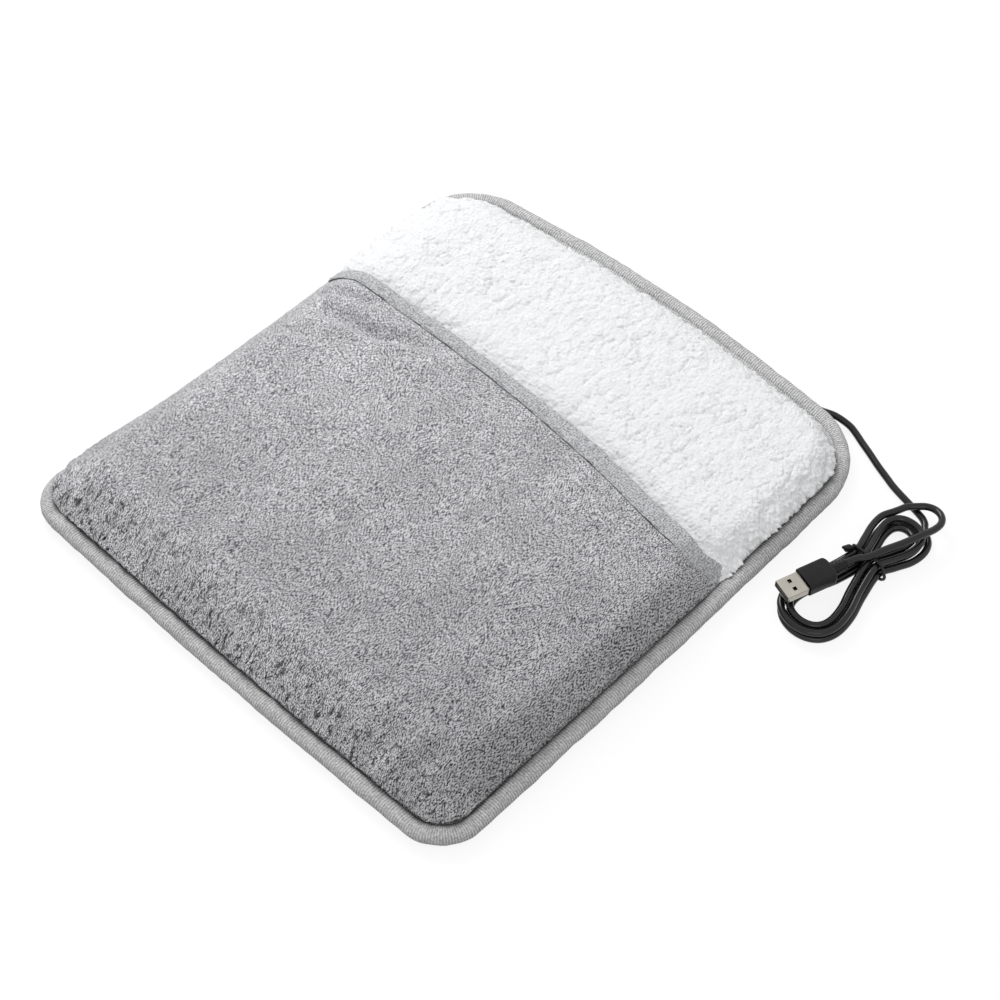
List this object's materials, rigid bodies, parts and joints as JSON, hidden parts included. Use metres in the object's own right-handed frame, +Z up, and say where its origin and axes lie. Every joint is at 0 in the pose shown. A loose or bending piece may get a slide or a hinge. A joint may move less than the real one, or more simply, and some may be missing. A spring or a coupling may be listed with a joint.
{
  "type": "electric foot warmer",
  "caption": "Flat padded electric foot warmer with a fleece foot pocket over a sherpa sole, a folded edge binding and a USB lead in a tied hank.",
  "frame": {"origin": "centre of the mat's outline on the surface it lies on, without the cord", "axes": "+Z up; +Y from the closed toe end to the open end with the sherpa; +X across the mat, to the side where the cord leaves"},
  "size_m": [0.3536, 0.3352, 0.0326],
  "materials": {
    "grey_fleece": "short-pile fleece, matte",
    "white_sherpa": "curly sherpa pile, matte",
    "pocket_lining": "short pile, matte",
    "wadding": "polyester wadding, matte",
    "knit_tape": "fine ribbed knit, matte",
    "non_woven": "thin non-woven, matte",
    "silicone_wire": "smooth silicone",
    "shrink_sleeve": "heat-shrink sleeve",
    "black_plastic": "fine matte black",
    "black_cord": "semi-matte black PVC",
    "nickel_plate": "bright nickel plate",
    "tongue_plastic": "moulded plastic",
    "contact": "gold flash"
  },
  "bodies": {
    "root": {"base_cover": "grey_fleece", "base_wadding": "wadding", "heater_carrier": "non_woven", "heating_wire": "silicone_wire", "thermal_cutout": "black_plastic", "cutout_wire": "silicone_wire", "splice_1": "shrink_sleeve", "splice_2": "shrink_sleeve", "lead_wire_1": "silicone_wire", "lead_wire_2": "silicone_wire", "cord_tail": "black_cord", "cord_anchor": "black_plastic", "sole_wadding": "wadding", "sole_fleece": "white_sherpa", "pocket_lining": "pocket_lining", "pocket_wadding": "wadding", "pocket_outer": "grey_fleece", "edge_binding": "knit_tape", "mouth_binding": "knit_tape", "usb_cord": "black_cord", "cord_hank": "black_cord", "plug_lead": "black_cord", "cord_tie": "black_plastic", "plug_body": "black_plastic", "plug_shell": "nickel_plate", "plug_tongue": "tongue_plastic", "plug_contact_1": "contact", "plug_contact_2": "contact", "plug_contact_3": "contact", "plug_contact_4": "contact"}
  },
  "joints": []
}
